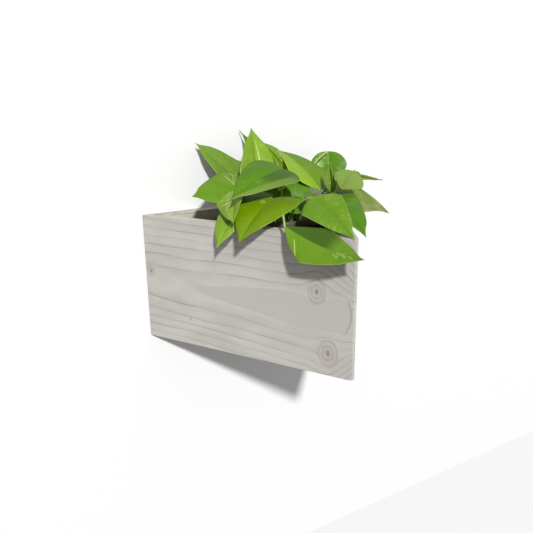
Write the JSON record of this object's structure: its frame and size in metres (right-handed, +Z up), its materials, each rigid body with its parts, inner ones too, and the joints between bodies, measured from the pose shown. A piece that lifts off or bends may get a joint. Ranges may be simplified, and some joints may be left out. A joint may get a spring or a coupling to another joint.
{
  "type": "wall planter",
  "caption": "Triangular wall planter of whitewashed boards with keyhole hangers, holding a lift-out nursery pot with a trailing plant.",
  "frame": {"origin": "centre of the back board's wall face", "axes": "+Y into the wall, +Z up, +X to the right for someone who faces the wall"},
  "size_m": [0.2663, 0.2514, 0.2289],
  "materials": {
    "whitewashed_pine": "whitewashed, matte, grain showing through",
    "steel_brads": "bright drawn steel",
    "zinc_plate": "zinc plated, slightly dull",
    "zinc_screws": "zinc plated",
    "dark_pot": "thin dark ribbed plastic",
    "potting_soil": "crumbly, damp",
    "green_stem": "smooth and green",
    "leaf_green": "glossy, lightly marbled"
  },
  "bodies": {
    "planter": {"back_panel": "whitewashed_pine", "front_panel": "whitewashed_pine", "side_panel": "whitewashed_pine", "floor_panel": "whitewashed_pine", "floor_brads": "steel_brads", "corner_brads": "steel_brads", "keyhole_hanger_left": "zinc_plate", "keyhole_hanger_right": "zinc_plate", "hanger_screws": "zinc_screws"},
    "potted_plant": {"nursery_pot": "dark_pot", "potting_soil": "potting_soil", "vine_stems": "green_stem", "leaf_01": "leaf_green", "leaf_02": "leaf_green", "leaf_03": "leaf_green", "leaf_04": "leaf_green", "leaf_05": "leaf_green", "leaf_06": "leaf_green", "leaf_07": "leaf_green", "leaf_08": "leaf_green", "leaf_09": "leaf_green", "leaf_10": "leaf_green", "leaf_11": "leaf_green", "leaf_12": "leaf_green", "leaf_13": "leaf_green", "leaf_14": "leaf_green", "leaf_15": "leaf_green", "leaf_16": "leaf_green", "leaf_17": "leaf_green", "leaf_18": "leaf_green"}
  },
  "joints": [
    {"name": "plant_lift", "type": "slide", "parent": "planter", "child": "potted_plant", "axis": [0, 0, 1], "range_m": [0, 0.16]}
  ]
}
